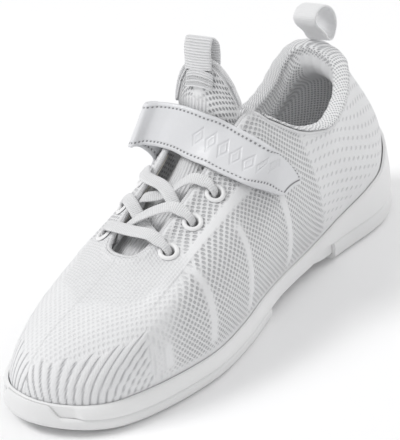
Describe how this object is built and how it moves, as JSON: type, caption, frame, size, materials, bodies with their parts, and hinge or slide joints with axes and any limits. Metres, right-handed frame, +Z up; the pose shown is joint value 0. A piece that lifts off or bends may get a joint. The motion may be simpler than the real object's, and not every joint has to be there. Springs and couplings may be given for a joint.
{
  "type": "cheer shoe",
  "caption": "Low lace-up knit cheer shoe for the left foot, with a padded collar, instep strap, pull tabs and a split rubber cup sole.",
  "frame": {"origin": "on the ground, under the middle of the shoe's bounding box", "axes": "-Y toward the toe, +Y toward the heel, +X toward the outer side of the foot, +Z up"},
  "size_m": [0.0844, 0.2518, 0.129],
  "materials": {
    "knit": "matt engineered knit with open holes",
    "lining": "soft pique mesh",
    "rubber": "matt moulded rubber",
    "foam": "soft foam",
    "board": "fibre board",
    "coated": "smooth coated synthetic leather, slight sheen",
    "webbing": "ribbed woven tape",
    "satin": "smooth satin tape",
    "ring": "smooth painted ring",
    "cord": "flat elastic braid",
    "grip": "hook and loop pile"
  },
  "bodies": {
    "shoe": {"outsole_forefoot": "rubber", "outsole_heel": "rubber", "midsole": "rubber", "insole_board": "board", "sockliner": "foam", "knit_upper": "knit", "toe_puff": "board", "heel_counter": "board", "eyestay_tape_lateral": "board", "eyestay_tape_medial": "board", "collar_foam": "foam", "collar_lining": "lining", "eyelet_lateral_1": "ring", "eyelet_lateral_2": "ring", "eyelet_lateral_3": "ring", "eyelet_medial_1": "ring", "eyelet_medial_2": "ring", "eyelet_medial_3": "ring", "tongue_base": "knit", "lace": "cord", "strap_root": "coated", "loop_patch": "grip"},
    "strap": {"strap": "coated", "strap_lining": "lining", "hook_patch": "grip"},
    "tongue_top": {"tongue_flap": "knit", "tongue_binding": "webbing", "tongue_tab_tail": "webbing", "tongue_tab_back": "webbing", "tongue_tab": "webbing"},
    "heel_tab": {"heel_tab": "satin"}
  },
  "joints": [
    {"name": "strap_hinge", "type": "hinge", "parent": "shoe", "child": "strap", "pos_m": [-0.02545, -0.00012, 0.082], "axis": [-0.1604, -0.5613, -0.8119], "range_deg": [0, 110]},
    {"name": "tongue_hinge", "type": "hinge", "parent": "shoe", "child": "tongue_top", "pos_m": [-0.00085, 0.00298, 0.099], "axis": [1, 0, 0], "range_deg": [0, 35], "stiffness_Nm_per_rad": 0.02},
    {"name": "heel_tab_hinge", "type": "hinge", "parent": "shoe", "child": "heel_tab", "pos_m": [-0.00685, 0.10258, 0.086], "axis": [1, 0, 0], "range_deg": [-20, 20], "stiffness_Nm_per_rad": 0.02}
  ]
}
